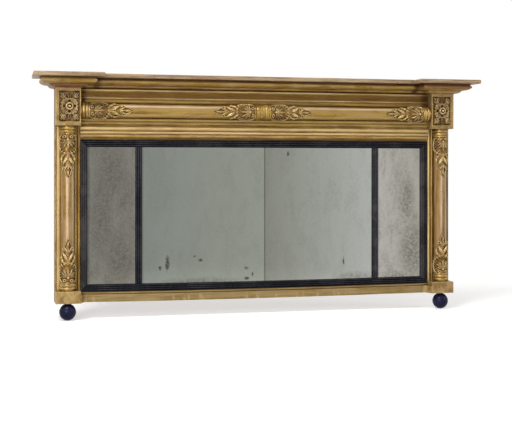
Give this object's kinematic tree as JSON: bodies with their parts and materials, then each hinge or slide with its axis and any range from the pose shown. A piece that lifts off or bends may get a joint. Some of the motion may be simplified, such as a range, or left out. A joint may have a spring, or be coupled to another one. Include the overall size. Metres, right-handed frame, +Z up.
{
  "type": "giltwood overmantel mirror",
  "caption": "Landscape overmantel mirror with a breakfront cornice, half-round columns, blocks with rosettes, a reeded slip round divided plates, ball feet and hanging rings.",
  "frame": {"origin": "middle of the back face of the top rail of the carcase, where the frame bears on the wall", "axes": "+X to the right seen from the front, +Y out of the back face towards the wall, +Z up; the plates face -Y"},
  "size_m": [1.445, 0.1619, 0.7605],
  "materials": {
    "pine": "old bare softwood, planed, darkened",
    "silvered_glass": "old silvering, grey and foxed",
    "ebonised": "black polish over gesso",
    "gilding": "water gilding over gesso and red bole",
    "worn_gilding": "rubbed gilding with bole and gesso showing",
    "gilt_castings": "gilt composition castings",
    "brass": "dull unlacquered brass"
  },
  "bodies": {
    "frame": {"carcase_stile_left": "pine", "carcase_stile_right": "pine", "carcase_rail_top": "pine", "carcase_rail_bottom": "pine", "backboard_left": "pine", "backboard_centre": "pine", "backboard_right": "pine", "glass_fillet_top": "pine", "glass_fillet_bottom": "pine", "glass_left": "silvered_glass", "glass_centre_left": "silvered_glass", "glass_centre_right": "silvered_glass", "glass_right": "silvered_glass", "slip_top": "ebonised", "slip_bottom": "ebonised", "slip_left": "ebonised", "slip_right": "ebonised", "glazing_bar_left": "ebonised", "glazing_bar_right": "ebonised", "ball_foot_left": "ebonised", "ball_foot_right": "ebonised", "base_block_left": "gilding", "base_block_right": "gilding", "base_rail": "gilding", "base_cove_left": "gilding", "base_cove_right": "gilding", "pilaster_left": "worn_gilding", "pilaster_right": "worn_gilding", "column_left": "worn_gilding", "column_right": "worn_gilding", "column_collar_bottom_left": "gilding", "column_collar_bottom_right": "gilding", "column_collar_top_left": "gilding", "column_collar_top_right": "gilding", "column_ornament_bottom_left": "gilt_castings", "column_ornament_bottom_right": "gilt_castings", "column_ornament_top_left": "gilt_castings", "column_ornament_top_right": "gilt_castings", "corner_block_left": "gilding", "corner_block_right": "gilding", "rosette_left": "gilt_castings", "rosette_right": "gilt_castings", "frieze_column": "worn_gilding", "frieze_collar_left": "gilding", "frieze_collar_centre": "gilding", "frieze_collar_right": "gilding", "frieze_ornament_end_left": "gilt_castings", "frieze_ornament_centre_left": "gilt_castings", "frieze_ornament_centre_right": "gilt_castings", "frieze_ornament_end_right": "gilt_castings", "frieze_upper_moulding": "gilding", "frieze_lower_moulding": "gilding", "cornice_left": "gilding", "cornice_centre": "gilding", "cornice_right": "gilding", "cornice_slab": "gilding", "hanger_strap_left": "brass", "hanger_strap_right": "brass"},
    "ring_left": {"hanger_ring_left": "brass"},
    "ring_right": {"hanger_ring_right": "brass"}
  },
  "joints": [
    {"name": "ring_left_swing", "type": "hinge", "parent": "frame", "child": "ring_left", "pos_m": [-0.612, 0.0048, -0.0476], "axis": [1, 0, 0], "range_deg": [0, 180]},
    {"name": "ring_right_swing", "type": "hinge", "parent": "frame", "child": "ring_right", "pos_m": [0.612, 0.0048, -0.0476], "axis": [1, 0, 0], "range_deg": [0, 180]}
  ]
}
